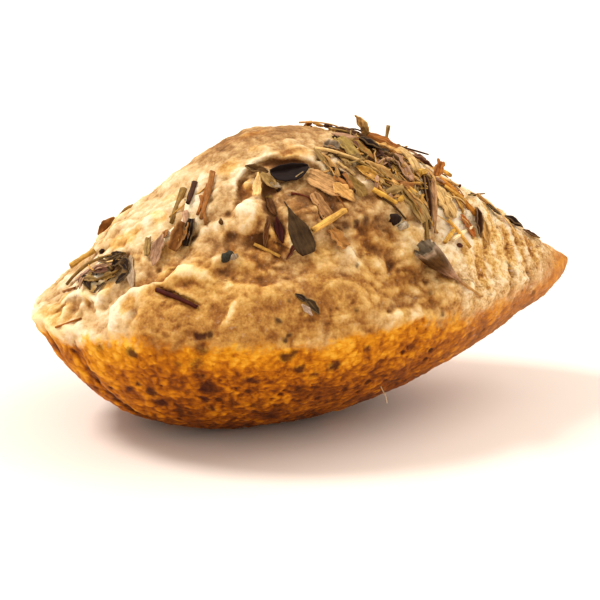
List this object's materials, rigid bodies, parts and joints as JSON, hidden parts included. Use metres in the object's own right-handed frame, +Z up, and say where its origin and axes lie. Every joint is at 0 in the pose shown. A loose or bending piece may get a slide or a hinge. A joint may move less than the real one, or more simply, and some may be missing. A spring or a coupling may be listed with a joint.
{
  "type": "madeleine cake",
  "caption": "Small savoury shell-shaped sponge cake with a domed, cracked top strewn with dried herbs and a golden-brown fluted shell underneath.",
  "frame": {"origin": "middle of the cake's bounding box, at the level of the surface that the belly rests on", "axes": "+X towards the narrow hinge end where the flutes meet, +Z up through the hump, -Y to one long side"},
  "size_m": [0.048, 0.03, 0.0247],
  "materials": {
    "sponge": "baked sponge: matt crumb, tan to golden on top, with a brown-orange moulded crust below"
  },
  "bodies": {
    "root": {"cake": "sponge"}
  },
  "joints": []
}
